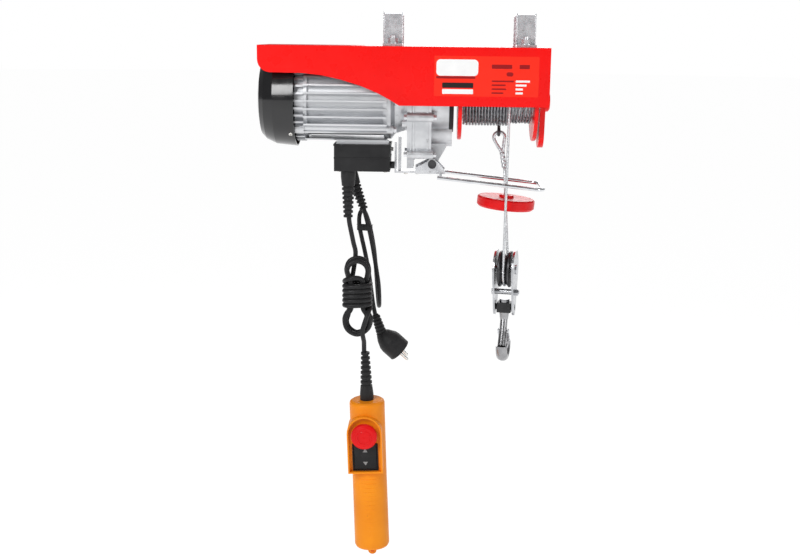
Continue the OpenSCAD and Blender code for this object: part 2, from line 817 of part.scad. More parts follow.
// Swivelling hook: shank, curved neck, round bow and a blunt tip
module hook() {
    neck_y = -6.5;
    color("silver") in_block() difference() {
        union() {
            translate([0, 0, cross_z - 9]) cylinder(r = 5 - FIT, h = 20);
            translate([0, 0, cross_z + 8.3]) cylinder(r = 8, h = 5);
            translate([0, 0, cross_z - 20]) cylinder(r1 = 6.5, r2 = 8, h = 11.5);
            bar([0, 0, cross_z - 18], [0, neck_y, bow_z + 22], 6);
            translate([0, neck_y, bow_z + 22]) sphere(r = 6.3);
            bar([0, neck_y, bow_z + 22], [0, -hook_bow, bow_z + 2], 6.6);
            translate([0, 0, bow_z]) rotate([0, 90, 0]) rotate([0, 0, -95])
                rotate_extrude(angle = 195) translate([hook_bow, 0])
                    scale([1, 1.25]) circle(r = 7.4, $fn = 40);
            translate([0, hook_bow, bow_z + 1]) cylinder(r1 = 7, r2 = 4.5, h = 11);
            translate([0, hook_bow, bow_z + 12]) sphere(r = 4.5);
        }
        rod_x(-12, latch_r + FIT, 24, latch_y, latch_z);
    }
}

// Spring latch: two ears on a cross pin, and a strip that closes the throat
module hook_latch() {
    color("gainsboro") in_block() {
        rod_x(-9, latch_r, 18, latch_y, latch_z);
        for (x = [-9, 7.4]) along_x(x, 0, 0) linear_extrude(1.6)
            polygon([[latch_y - 4, latch_z + 1], [latch_y - 1, latch_z + 4],
                [latch_y + 3, latch_z + 3], [12, -117.5], [12.2, -119.5], [10, -119.5],
                [latch_y - 3, latch_z - 3]]);
        along_x(-9, 0, 0) linear_extrude(18)
            polygon([[6, -109], [7.2, -109.4], [12.6, -118.8], [12.2, -120], [11, -119.6]]);
    }
}

// ---- cords ---------------------------------------------------------------

// Ribbed strain relief that hangs down from its collar
module relief(collar_r, tip_r, l, bore) {
    ribs = 7;
    neck = 24;
    step = (l - neck) / ribs;
    difference() {
        rotate_extrude() polygon(concat(
            [[0, 8], [7.8, 8], [7.8, 0], [collar_r, 0], [collar_r, -10],
             [collar_r - 1.5, -neck]],
            [for (k = [0:ribs - 1])
                let (r = collar_r - 2 - (collar_r - 2 - tip_r) * (k + 1) / ribs, z = -neck - k * step)
                each [[r - 1.2, z], [r - 1.2, z - step * 0.35], [r + 0.8, z - step * 0.45],
                      [r + 0.8, z - step * 0.9]]],
            [[0, -l]]));
        translate([0, 0, -l - 1]) cylinder(r = bore, h = 9);
    }
}

module pendant_relief() {
    color("#1a1a1a") translate([pendant_x, pendant_y, entry_z])
        relief(11.5, 6.5, 74, pendant_d / 2 + 0.1);
}

module mains_relief() {
    color("#1a1a1a") {
        translate([pendant_x, mains_y, entry_z]) cylinder(r = 7.8, h = 8);
        translate([pendant_x, mains_y, entry_z - 8]) cylinder(r = 11, h = 8);
        translate([pendant_x, mains_y, entry_z - 4]) rotate([0, -mains_lean, 0])
            intersection() {
                relief(10.5, 6, 66, mains_d / 2 + 0.1);
                translate([0, 0, -70]) cylinder(r = 20, h = 70);
            }
    }
}

module pendant_cord_top() {
    color("#1b1b1b") tube(pendant_top_route, pendant_d, 10);
}

module pendant_cord_end() {
    color("#1b1b1b") tube(pendant_end_route, pendant_d, 10);
}

module pendant_hank() {
    color("#1b1b1b") translate([hank_mid[0], hank_mid[1] + hank_t / 2, hank_mid[2]])
        rotate([90, 0, 0]) linear_extrude(hank_t) hull()
            for (s = [-1, 1]) translate([0, s * (hank_h - hank_w) / 2]) circle(d = hank_w);
}

module mains_cord() {
    color("#1b1b1b") tube(mains_route, mains_d);
}

module in_plug() {
    translate(plug_at) rotate(plug_turn) children();
}

// The plug's body hangs from its neck at a slant
module in_plug_head() {
    in_plug() translate([0, 0, -plug_neck]) rotate([0, -28, 0]) children();
}

// Moulded two-pin plug: ribbed neck, then a body that widens to its face
module plug_body() {
    step = plug_neck / plug_ribs;
    color("#161616") {
        in_plug() difference() {
            rotate_extrude() polygon(concat([[0, 0]], [for (k = [0:plug_ribs - 1])
                let (r = 5.2 + 0.35 * k, z = -step * k)
                each [[r, z], [r, z - 0.36 * step], [r + 1.8, z - 0.48 * step],
                      [r + 1.8, z - 0.92 * step]]], [[9, -plug_neck], [0, -plug_neck]]));
            translate([0, 0, -8]) cylinder(r = mains_d / 2 + 0.1, h = 9);
        }
        in_plug_head() difference() {
            rotate_extrude() polygon([[0, 4], [9, 3], [13.5, -3], [19, -14], [20, -20],
                [20, -40], [0, -40]]);
            for (s = [-1, 1]) translate([0, s * 9.5, -66]) cylinder(r = 2.45, h = 50);
        }
    }
}

module plug_pins() {
    color("silver") in_plug_head() for (s = [-1, 1]) translate([0, s * 9.5, 0]) {
        translate([0, 0, -57]) cylinder(r = 2.4, h = 40);
        translate([0, 0, -59]) cylinder(r1 = 1.4, r2 = 2.4, h = 2);
    }
}

// ---- handset -------------------------------------------------------------

module in_handset() {
    translate(grip_top) rotate([0, -grip_lean, 0]) children();
}

module switch_frame(r, foot, depth) {
    rotate([90, 0, 0]) linear_extrude(depth) hull() {
        translate([switch_x, -46]) circle(r = r, $fn = HULL_FN);
        translate([switch_x - r, foot]) square([2 * r, 10]);
    }
}

module handset_shell() {
    r = grip_d / 2;
    color("orange") in_handset() difference() {
        union() {
            rotate_extrude() polygon([[0, 0], [r - 4, 0], [r - 1, -2], [r, -5],
                [r - 0.5, -120], [r, -grip_l + 5], [r - 1.5, -grip_l + 1.5],
                [r - 5, -grip_l], [0, -grip_l]]);
            switch_frame(28, -113, r + 9);
            // Hanging eye under the shell
            translate([-4, -3, -grip_l - 9]) cube([8, 6, 11]);
            translate([0, 3, -grip_l - 9]) rotate([90, 0, 0]) cylinder(r = 7, h = 6);
        }
        // Hollow of the shell
        translate([0, 0, -grip_l + 3]) cylinder(r = r - 3.5, h = grip_l - 8);
        // Recess round the switches, and the openings in its floor
        translate([0, -r - 1, 0]) switch_frame(25.5, -110.5, 20);
        translate([switch_x, 0, stop_z]) rotate([90, 0, 0]) cylinder(r = 8 + GAP, h = 80);
        translate([switch_x - 19.3, -60, rocker_z - 21.8]) cube([38.6, 60, 43.6]);
        translate([0, 0, -10]) cylinder(r = 8.3, h = 20);
        translate([0, 10, -grip_l - 9.5]) rotate([90, 0, 0]) cylinder(r = 3, h = 20);
    }
}

module stop_button() {
    r = grip_d / 2;
    color("red") in_handset() translate([switch_x, 0, stop_z]) rotate([90, 0, 0]) {
        translate([0, 0, 14]) cylinder(r = 8, h = r);
        rotate_extrude() polygon([[0, r + 8], [18.5, r + 8], [20.5, r + 10], [21, r + 14],
            [19.5, r + 16.5], [15.5, r + 18], [0, r + 18.5]]);
    }
}

module rocker() {
    color("#1b1b1b") in_handset() translate([switch_x - 18, -grip_d / 2 + 6, rocker_z])
        rotate([90, 0, 90]) linear_extrude(36)
            polygon([[10, -10], [10, 10], [-8, 20], [-6.4, 0], [-8, -20]]);
}

module handset_relief() {
    color("#1a1a1a") in_handset() mirror([0, 0, 1])
        relief(11, 6.2, 80, pendant_d / 2 + 0.1);
}

housing();
hanger(-strap_spacing / 2);  // hanger_left
hanger(strap_spacing / 2);  // hanger_right
hanger_bolts();
end_bracket();
bearing_cap();
gear_bearings();
fan_cover();
rear_shield();
motor_body();
front_bell();
stator_core();
stator_windings();
rotor();
fan();
motor_bearings();
tie_bolts();
gearbox_housing();
gear_cover();
layshaft();
first_wheel();
output_wheel();
drum_shaft();
drum_barrel();
drum_flanges();
rope_winding();
gearbox_bolts();
box_pedestal();
terminal_box();
terminal_lid();
capacitor();
limit_switch();
switch_plunger();
lever_strap();
lever_loop();
lever_pivot();
anchor_rod();
rope_eye();
front_fall();
back_fall();
rope_turn();
stop_disc();
block_cheeks();
block_bolts();
sheave();
hook_crosshead();
hook();
hook_latch();
pendant_relief();
mains_relief();
pendant_cord_top();
pendant_hank();
pendant_cord_end();
mains_cord();
plug_body();
plug_pins();
handset_shell();
handset_relief();
stop_button();
rocker();
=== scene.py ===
"""Looks of the electric wire rope hoist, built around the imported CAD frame. Metres."""
import math

import bmesh
import bpy
from mathutils import Matrix, Vector


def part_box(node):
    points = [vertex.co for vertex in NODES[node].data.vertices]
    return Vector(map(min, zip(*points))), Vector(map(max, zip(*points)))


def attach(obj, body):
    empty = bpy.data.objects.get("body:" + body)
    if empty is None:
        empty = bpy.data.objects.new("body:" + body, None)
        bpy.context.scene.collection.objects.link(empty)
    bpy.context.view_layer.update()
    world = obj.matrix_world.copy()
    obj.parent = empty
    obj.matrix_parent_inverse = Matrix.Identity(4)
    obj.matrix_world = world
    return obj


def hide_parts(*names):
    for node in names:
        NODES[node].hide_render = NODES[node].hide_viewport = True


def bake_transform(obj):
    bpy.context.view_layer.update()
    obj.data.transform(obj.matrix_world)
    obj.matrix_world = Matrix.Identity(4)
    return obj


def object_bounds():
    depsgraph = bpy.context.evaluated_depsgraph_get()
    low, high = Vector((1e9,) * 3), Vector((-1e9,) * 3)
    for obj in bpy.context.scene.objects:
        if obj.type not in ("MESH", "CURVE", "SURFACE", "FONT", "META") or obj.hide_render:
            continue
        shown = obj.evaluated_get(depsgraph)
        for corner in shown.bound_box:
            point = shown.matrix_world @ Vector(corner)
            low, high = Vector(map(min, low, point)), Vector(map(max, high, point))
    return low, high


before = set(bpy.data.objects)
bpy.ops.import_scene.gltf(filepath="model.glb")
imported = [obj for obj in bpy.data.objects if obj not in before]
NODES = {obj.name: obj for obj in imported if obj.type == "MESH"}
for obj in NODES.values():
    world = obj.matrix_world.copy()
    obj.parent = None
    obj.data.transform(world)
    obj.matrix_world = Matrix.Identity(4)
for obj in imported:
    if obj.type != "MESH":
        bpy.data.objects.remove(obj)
cad_low, cad_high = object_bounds()
MM = 0.001


def mm(*values):
    """A point given in millimetres, in metres."""
    return Vector(values) * MM


# ---- camera ---------------------------------------------------------------

CAMERA_AT = mm(-38.9, -1810.3, -29.2)
CAMERA_AZIMUTH = math.radians(1.5)
CAMERA_ELEVATION = math.radians(12.0)
CAMERA_ROLL = math.radians(0.65)
CAMERA_LENS = 51.93
SENSOR = 36.0


def add_camera():
    """A camera a little above the object's middle, looking slightly down."""
    az, el = CAMERA_AZIMUTH, CAMERA_ELEVATION
    back = Vector((math.sin(az) * math.cos(el), -math.cos(az) * math.cos(el), math.sin(el)))
    right = Vector((math.cos(az), math.sin(az), 0.0))
    up = back.cross(right)
    level = Matrix((right, up, back)).transposed()
    data = bpy.data.cameras.new("camera")
    data.lens = CAMERA_LENS
    data.sensor_width = SENSOR
    data.clip_end = 60.0
    camera = bpy.data.objects.new("camera", data)
    turn = level @ Matrix.Rotation(CAMERA_ROLL, 3, "Z")
    camera.matrix_world = Matrix.Translation(CAMERA_AT) @ turn.to_4x4()
    bpy.context.scene.collection.objects.link(camera)
    bpy.context.scene.camera = camera


add_camera()


# ---- mesh helpers -----------------------------------------------------------

def add_mesh(name, points, faces, smooth=True):
    """A mesh object from points and faces, with its normals made consistent."""
    data = bpy.data.meshes.new(name)
    data.from_pydata([tuple(p) for p in points], [], faces)
    work = bmesh.new()
    work.from_mesh(data)
    bmesh.ops.recalc_face_normals(work, faces=work.faces)
    work.to_mesh(data)
    work.free()
    data.polygons.foreach_set("use_smooth", [smooth] * len(data.polygons))
    piece = bpy.data.objects.new(name, data)
    bpy.context.scene.collection.objects.link(piece)
    return piece


def smooth_path(points, step):
    """Points about a step apart on a centripetal Catmull-Rom curve through the given ones."""
    pts = [Vector(p) for p in points]
    pts = [pts[0] * 2 - pts[1]] + pts + [pts[-1] * 2 - pts[-2]]
    out = []
    for i in range(1, len(pts) - 2):
        a, b, c, d = pts[i - 1:i + 3]
        t0 = 0.0
        t1 = t0 + max((b - a).length, 1e-9) ** 0.5
        t2 = t1 + max((c - b).length, 1e-9) ** 0.5
        t3 = t2 + max((d - c).length, 1e-9) ** 0.5
        count = max(1, round((c - b).length / step))
        for k in range(count):
            t = t1 + (t2 - t1) * k / count
            ab = a * ((t1 - t) / (t1 - t0)) + b * ((t - t0) / (t1 - t0))
            bc = b * ((t2 - t) / (t2 - t1)) + c * ((t - t1) / (t2 - t1))
            cd = c * ((t3 - t) / (t3 - t2)) + d * ((t - t2) / (t3 - t2))
            abc = ab * ((t2 - t) / (t2 - t0)) + bc * ((t - t0) / (t2 - t0))
            bcd = bc * ((t3 - t) / (t3 - t1)) + cd * ((t - t1) / (t3 - t1))
            out.append(abc * ((t2 - t) / (t2 - t1)) + bcd * ((t - t1) / (t2 - t1)))
    out.append(pts[-2])
    return out


def sweep(name, path, radius, sides=14, lobes=0, lobe_depth=0.0, lay=1.0):
    """A tube along a path. Lobes that turn once per lay make it a stranded rope."""
    tangents = []
    for i in range(len(path)):
        tangents.append((path[min(i + 1, len(path) - 1)] - path[max(i - 1, 0)]).normalized())
    side = tangents[0].orthogonal().normalized()
    points, faces = [], []
    along = 0.0
    for i, (at, tangent) in enumerate(zip(path, tangents)):
        if i:
            along += (at - path[i - 1]).length
            side = (side - tangent * side.dot(tangent)).normalized()
        other = tangent.cross(side)
        twist = 2 * math.pi * along / lay
        for k in range(sides):
            angle = 2 * math.pi * k / sides
            reach = radius
            if lobes:
                reach -= lobe_depth * (1 - abs(math.cos(lobes * angle / 2)))
                angle += twist
            points.append(at + (side * math.cos(angle) + other * math.sin(angle)) * reach)
    rings = len(path)
    for i in range(rings - 1):
        for k in range(sides):
            n = (k + 1) % sides
            faces.append((i * sides + k, i * sides + n, (i + 1) * sides + n, (i + 1) * sides + k))
    for ring, outward in ((0, -1), (rings - 1, 1)):
        tip = len(points)
        points.append(path[ring] + tangents[ring] * outward * radius * 0.35)
        for k in range(sides):
            faces.append((ring * sides + k, ring * sides + (k + 1) % sides, tip))
    return add_mesh(name, points, faces)


def lathe(name, profile, place, steps=64):
    """A turned piece. The profile holds (radius, height) in mm, and place puts Z on its axis."""
    points, faces, rings = [], [], []
    for r, h in profile:
        if r < 1e-6:
            rings.append([len(points)])
            points.append(place @ mm(0, 0, h))
            continue
        rings.append(list(range(len(points), len(points) + steps)))
        for k in range(steps):
            angle = 2 * math.pi * k / steps
            points.append(place @ mm(r * math.cos(angle), r * math.sin(angle), h))
    for low, high in zip(rings, rings[1:]):
        for k in range(steps):
            n = (k + 1) % steps
            face = [low[k % len(low)], low[n % len(low)], high[n % len(high)], high[k % len(high)]]
            face = list(dict.fromkeys(face))
            if len(face) > 2:
                faces.append(face)
    return add_mesh(name, points, faces)


def rounded(width, height, corner, steps=6):
    """Outline of a rectangle with round corners, centred on the origin, in mm."""
    out = []
    for cx, cy, first in ((1, 1, 0), (-1, 1, 90), (-1, -1, 180), (1, -1, 270)):
        for k in range(steps + 1):
            angle = math.radians(first + 90 * k / steps)
            out.append((cx * (width / 2 - corner) + corner * math.cos(angle),
                        cy * (height / 2 - corner) + corner * math.sin(angle)))
    return out


def plate(name, outline, thickness, place, bevel=0.3):
    """A plate from an outline in mm, standing on place's XY plane, its top edge bevelled."""
    n = len(outline)
    points, faces = [], []
    cx = sum(p[0] for p in outline) / n
    cy = sum(p[1] for p in outline) / n
    span = max(max(abs(p[0] - cx), abs(p[1] - cy)) for p in outline)
    levels = ((1.0, 0.0), (1.0, thickness - bevel), (1 - 0.3 * bevel / span, thickness - 0.3 * bevel),
              (1 - bevel / span, thickness))
    for scale, z in levels:
        points += [place @ mm(cx + (x - cx) * scale, cy + (y - cy) * scale, z) for x, y in outline]
    for level in range(len(levels) - 1):
        for k in range(n):
            a, b = level * n + k, level * n + (k + 1) % n
            faces.append((a, b, b + n, a + n))
    faces.append(tuple(range(n)))
    faces.append(tuple(range((len(levels) - 1) * n, len(levels) * n)))
    return add_mesh(name, points, faces, smooth=False)


def join(name, pieces):
    """One piece out of several meshes."""
    work = bmesh.new()
    for piece in pieces:
        work.from_mesh(piece.data)
    data = bpy.data.meshes.new(name)
    work.to_mesh(data)
    work.free()
    for piece in pieces:
        bpy.data.objects.remove(piece)
    out = bpy.data.objects.new(name, data)
    bpy.context.scene.collection.objects.link(out)
    return out


def facing(at, direction, up=(0, 0, 1)):
    """A place in metres whose Z points along direction, at a point in mm."""
    z = Vector(direction).normalized()
    x = Vector(up).cross(z)
    if x.length < 1e-6:
        x = Vector((1, 0, 0))
    x.normalize()
    turn = Matrix((x, z.cross(x), z)).transposed().to_4x4()
    return Matrix.Translation(mm(*at)) @ turn


# ---- materials --------------------------------------------------------------

MATERIALS = {}


def surface(name, base, dark, rough, metal=0.0, coat=0.0, cloud=30.0, grain="noise",
            grain_scale=900.0, bump=0.15, depth=0.0002, scuff=None, scuff_scale=60.0,
            scuff_from=0.62, sheen=0.0, stretch=(1, 1, 1), specular=0.5):
    """A node material: clouded colour, uneven roughness, a fine grain, and scuffs."""
    if name in MATERIALS:
        return MATERIALS[name]
    mat = bpy.data.materials.new(name)
    mat.use_nodes = True
    tree = mat.node_tree
    nodes, links = tree.nodes, tree.links
    shader = nodes["Principled BSDF"]
    shader.inputs["Metallic"].default_value = metal
    shader.inputs["Coat Weight"].default_value = coat
    shader.inputs["Coat Roughness"].default_value = 0.08
    shader.inputs["Sheen Weight"].default_value = sheen
    shader.inputs["Specular IOR Level"].default_value = specular
    where = nodes.new("ShaderNodeTexCoord")
    mapping = nodes.new("ShaderNodeMapping")
    mapping.inputs["Scale"].default_value = stretch
    links.new(where.outputs["Object"], mapping.inputs["Vector"])

    def noise(scale, detail):
        node = nodes.new("ShaderNodeTexNoise")
        node.inputs["Scale"].default_value = scale
        node.inputs["Detail"].default_value = detail
        links.new(mapping.outputs["Vector"], node.inputs["Vector"])
        return node.outputs["Fac"]

    clouds = noise(cloud, 5)
    ramp = nodes.new("ShaderNodeValToRGB")
    ramp.color_ramp.elements[0].position = 0.3
    ramp.color_ramp.elements[0].color = (*dark, 1)
    ramp.color_ramp.elements[1].position = 0.7
    ramp.color_ramp.elements[1].color = (*base, 1)
    links.new(clouds, ramp.inputs["Fac"])
    colour = ramp.outputs["Color"]
    span = nodes.new("ShaderNodeMapRange")
    span.inputs["From Min"].default_value = 0.3
    span.inputs["From Max"].default_value = 0.7
    span.inputs["To Min"].default_value = rough[0]
    span.inputs["To Max"].default_value = rough[1]
    links.new(noise(cloud * 3, 4), span.inputs["Value"])
    if scuff:
        marks = nodes.new("ShaderNodeValToRGB")
        marks.color_ramp.elements[0].position = scuff_from
        marks.color_ramp.elements[1].position = scuff_from + 0.08
        links.new(noise(scuff_scale, 8), marks.inputs["Fac"])
        mix = nodes.new("ShaderNodeMix")
        mix.data_type = "RGBA"
        links.new(marks.outputs["Color"], mix.inputs[0])
        links.new(colour, mix.inputs[6])
        mix.inputs[7].default_value = (*scuff, 1)
        colour = mix.outputs[2]
    links.new(colour, shader.inputs["Base Color"])
    links.new(span.outputs["Result"], shader.inputs["Roughness"])
    if grain == "cells":
        texture = nodes.new("ShaderNodeTexVoronoi")
        texture.inputs["Scale"].default_value = grain_scale
        links.new(mapping.outputs["Vector"], texture.inputs["Vector"])
        height = texture.outputs["Distance"]
    elif grain in ("X", "Y", "Z"):
        texture = nodes.new("ShaderNodeTexWave")
        texture.bands_direction = grain
        texture.inputs["Scale"].default_value = grain_scale
        texture.inputs["Distortion"].default_value = 1.0
        links.new(mapping.outputs["Vector"], texture.inputs["Vector"])
        height = texture.outputs["Fac"]
    else:
        height = noise(grain_scale, 6)
    relief = nodes.new("ShaderNodeBump")
    relief.inputs["Strength"].default_value = bump
    relief.inputs["Distance"].default_value = depth
    links.new(height, relief.inputs["Height"])
    links.new(relief.outputs["Normal"], shader.inputs["Normal"])
    MATERIALS[name] = mat
    return mat


def red_paint():
    return surface("red_paint", (0.88, 0.004, 0.003), (0.80, 0.003, 0.002), (0.24, 0.34), coat=0.1,
                   specular=0.2, cloud=14, grain_scale=420, bump=0.05, depth=0.0003,
                   scuff=(0.42, 0.004, 0.005), scuff_scale=240, scuff_from=0.70)


def red_plastic():
    return surface("red_plastic", (0.80, 0.004, 0.006), (0.70, 0.003, 0.005), (0.34, 0.46), coat=0.05,
                   specular=0.2, cloud=30, grain_scale=900, bump=0.06,
                   scuff=(0.45, 0.01, 0.01), scuff_scale=180, scuff_from=0.68)


def zinc_plate():
    return surface("zinc_plate", (0.84, 0.85, 0.87), (0.64, 0.65, 0.68), (0.20, 0.34), metal=0.8,
                   cloud=60, grain="cells", grain_scale=420, bump=0.06, depth=0.0002,
                   scuff=(0.50, 0.50, 0.50), scuff_scale=150, scuff_from=0.66)


def bright_wire():
    return surface("bright_wire", (0.82, 0.83, 0.85), (0.66, 0.67, 0.70), (0.16, 0.30), metal=1.0,
                   cloud=70, grain_scale=1500, bump=0.05)


def cast_aluminium():
    return surface("cast_aluminium", (0.72, 0.73, 0.75), (0.52, 0.53, 0.55), (0.30, 0.46), metal=0.9,
                   cloud=45, grain="cells", grain_scale=900, bump=0.20, depth=0.0003,
                   scuff=(0.34, 0.34, 0.35), scuff_scale=80, scuff_from=0.66)


def fin_aluminium():
    return surface("fin_aluminium", (0.74, 0.75, 0.77), (0.58, 0.59, 0.61), (0.34, 0.50), metal=0.75,
                   cloud=40, grain_scale=700, bump=0.14, depth=0.0002, stretch=(0.2, 1, 1),
                   scuff=(0.44, 0.44, 0.46), scuff_scale=90, scuff_from=0.68)


def gloss_black():
    return surface("gloss_black", (0.012, 0.012, 0.013), (0.007, 0.007, 0.008), (0.12, 0.24), coat=0.5,
                   specular=0.4, cloud=20, grain_scale=520, bump=0.04,
                   scuff=(0.03, 0.03, 0.03), scuff_scale=300, scuff_from=0.70)


def black_plastic():
    return surface("black_plastic", (0.020, 0.020, 0.021), (0.012, 0.012, 0.013), (0.42, 0.58),
                   specular=0.25, cloud=40, grain="cells", grain_scale=1400, bump=0.16, depth=0.0002,
                   scuff=(0.045, 0.045, 0.045), scuff_scale=200, scuff_from=0.68)


def black_rubber():
    return surface("black_rubber", (0.017, 0.017, 0.018), (0.010, 0.010, 0.011), (0.48, 0.66),
                   specular=0.25, cloud=60, grain_scale=1300, bump=0.18, depth=0.0002, sheen=0.12,
                   scuff=(0.04, 0.04, 0.042), scuff_scale=260, scuff_from=0.66)


def cable_jacket():
    return surface("cable_jacket", (0.016, 0.016, 0.017), (0.009, 0.009, 0.010), (0.38, 0.54),
                   specular=0.25, cloud=80, grain_scale=1100, bump=0.14, depth=0.0002, sheen=0.08,
                   scuff=(0.045, 0.045, 0.045), scuff_scale=220, scuff_from=0.68)


def wire_rope():
    return surface("wire_rope", (0.42, 0.43, 0.45), (0.22, 0.23, 0.25), (0.26, 0.42), metal=0.95,
                   cloud=160, grain="cells", grain_scale=2600, bump=0.5, depth=0.0003,
                   scuff=(0.18, 0.17, 0.16), scuff_scale=120, scuff_from=0.60)


def bright_rope():
    return surface("bright_rope", (0.76, 0.77, 0.79), (0.56, 0.57, 0.59), (0.24, 0.38), metal=0.9,
                   cloud=160, grain="cells", grain_scale=2600, bump=0.4, depth=0.0003,
                   scuff=(0.34, 0.34, 0.34), scuff_scale=120, scuff_from=0.62)


def machined_steel():
    return surface("machined_steel", (0.62, 0.63, 0.65), (0.46, 0.47, 0.49), (0.22, 0.36), metal=1.0,
                   cloud=50, grain_scale=1600, bump=0.08, scuff=(0.30, 0.29, 0.28),
                   scuff_scale=110, scuff_from=0.66)


def dark_steel():
    return surface("dark_steel", (0.10, 0.10, 0.105), (0.05, 0.05, 0.052), (0.30, 0.46), metal=0.9,
                   cloud=60, grain_scale=900, bump=0.12, scuff=(0.22, 0.22, 0.22),
                   scuff_scale=170, scuff_from=0.66)


def block_steel():
    return surface("block_steel", (0.64, 0.65, 0.67), (0.42, 0.43, 0.45), (0.20, 0.36), metal=1.0,
                   cloud=55, grain="cells", grain_scale=600, bump=0.10,
                   scuff=(0.24, 0.24, 0.24), scuff_scale=120, scuff_from=0.64)


def black_iron():
    return surface("black_iron", (0.030, 0.030, 0.032), (0.016, 0.016, 0.017), (0.34, 0.52), metal=0.4,
                   cloud=60, grain="cells", grain_scale=800, bump=0.22, depth=0.0003,
                   scuff=(0.12, 0.12, 0.12), scuff_scale=180, scuff_from=0.68)


def forged_hook():
    return surface("forged_hook", (0.44, 0.44, 0.45), (0.28, 0.28, 0.29), (0.22, 0.38), metal=1.0,
                   cloud=70, grain="cells", grain_scale=320, bump=0.22, depth=0.0004,
                   scuff=(0.30, 0.29, 0.28), scuff_scale=90, scuff_from=0.64)


def orange_plastic():
    return surface("orange_plastic", (0.96, 0.31, 0.008), (0.88, 0.26, 0.006), (0.38, 0.52),
                   specular=0.2, cloud=22, grain="cells", grain_scale=1500, bump=0.10, depth=0.0002,
                   scuff=(0.72, 0.22, 0.01), scuff_scale=160, scuff_from=0.70)


def white_plastic():
    return surface("white_plastic", (0.82, 0.82, 0.80), (0.72, 0.72, 0.70), (0.34, 0.5), cloud=60,
                   grain_scale=1200, bump=0.08, scuff=(0.6, 0.6, 0.58), scuff_scale=200,
                   scuff_from=0.70)


def nickel():
    return surface("nickel", (0.78, 0.77, 0.74), (0.62, 0.61, 0.58), (0.16, 0.28), metal=1.0, cloud=90,
                   grain_scale=1500, bump=0.06, scuff=(0.45, 0.44, 0.42), scuff_scale=200,
                   scuff_from=0.68)


def copper():
    return surface("copper", (0.72, 0.30, 0.14), (0.50, 0.20, 0.09), (0.26, 0.42), metal=1.0, cloud=80,
                   grain="Z", grain_scale=700, bump=0.4, depth=0.0004)


def lamination():
    return surface("lamination", (0.30, 0.30, 0.31), (0.20, 0.20, 0.21), (0.34, 0.5), metal=1.0,
                   cloud=60, grain="X", grain_scale=600, bump=0.4, depth=0.0003)


def printed(name, colour):
    """Printed foil or a moulded mark of one colour; the label's dark pieces also hold a painted shadow
    strip under the white tag.
    """
    return surface(name, colour, tuple(0.93 * c for c in colour), (0.34, 0.46), coat=0.05,
                   specular=0.25, cloud=70, grain_scale=1300, bump=0.05,
                   scuff=tuple(0.8 * c for c in colour), scuff_scale=260, scuff_from=0.72)


CAD_FINISH = {
    red_paint: ("housing", "drum_flanges", "end_bracket", "bearing_cap"),
    red_plastic: ("stop_disc", "stop_button"),
    zinc_plate: ("hanger_left", "hanger_right", "hanger_bolts", "tie_bolts", "gearbox_bolts",
                 "lever_strap", "hook_latch"),
    bright_wire: ("lever_loop",),
    cast_aluminium: ("front_bell", "gearbox_housing", "gear_cover", "rear_shield"),
    fin_aluminium: ("motor_body", "box_pedestal"),
    gloss_black: ("fan_cover",),
    black_plastic: ("fan", "terminal_box", "terminal_lid", "limit_switch", "rocker"),
    black_rubber: ("pendant_relief", "mains_relief", "handset_relief", "plug_body"),
    machined_steel: ("gear_bearings", "motor_bearings", "rotor", "layshaft", "first_wheel",
                     "output_wheel", "drum_shaft", "drum_barrel", "block_bolts"),
    dark_steel: ("anchor_rod", "lever_pivot", "sheave"),
    block_steel: ("block_cheeks",),
    black_iron: ("hook_crosshead",),
    forged_hook: ("hook",),
    orange_plastic: ("handset_shell",),
    white_plastic: ("capacitor", "switch_plunger"),
    nickel: ("plug_pins",),
    copper: ("stator_windings",),
    lamination: ("stator_core",),
}


def dress(piece, material):
    """Gives a piece one material on all its faces."""
    piece.data.materials.clear()
    piece.data.materials.append(material)


def finish_cad_nodes():
    """Puts each CAD node that shows in its material."""
    for make, names in CAD_FINISH.items():
        for name in names:
            for slot in NODES[name].material_slots:
                slot.material = make()


def place_piece(piece, body, slot, material, *replaced):
    """Rides and dresses a piece, and hides the CAD nodes it stands for."""
    dress(piece, material)
    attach(piece, body)
    if replaced:
        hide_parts(*replaced)
    return piece


# ---- cords ------------------------------------------------------------------

PENDANT_D = 7.5
MAINS_D = 7.0
HANK_AT = (-153, -25)
PENDANT_TOP = [(-167, -25, -308), (-166, -25, -318), (-163, -22, -335), (-160, -17, -352),
               (-157, -13, -368)]
PENDANT_END = [(-144, -39, -492), (-143, -36, -501), (-142, -31, -509), (-142, -27, -518),
               (-142, -25, -528)]
MAINS_ROUTE = [(-146, 12, -300), (-143, 12, -311), (-138, 11, -330), (-133, 10, -352),
               (-128.5, 9, -376), (-124.5, 8, -400), (-121, 8, -424), (-120, 13, -446),
               (-120.5, 27, -462), (-122, 43, -466), (-124, 58, -457), (-126, 65, -438),
               (-128, 66, -412), (-131, 66, -380), (-136, 66, -350), (-141, 63, -329),
               (-146, 52, -313), (-150, 38, -308), (-153, 25, -313), (-153, 16, -328),
               (-149, 12, -347), (-144, 10, -368), (-139, 9, -392), (-135, 9, -418),
               (-132, 10, -440), (-129.5, 10.5, -458), (-126, 11, -476)]
# The hank: its folds from the back to the front, and the turns that bind their middle.
# Each fold has the half width of its neck and of its bottom bow, and the bow's lowest height.
FOLDS = ((9.5, 21, -499), (13.0, 17, -495), (9.5, 19.5, -497))
BOW_TOP = 17.5
LAYER = 7.6
BIND_TURNS = 5.5
BIND_PITCH = 7.65
BIND_TOP = -412
BIND_HALF = (20.5, 15.3)
BIND_CORNER = 2.6


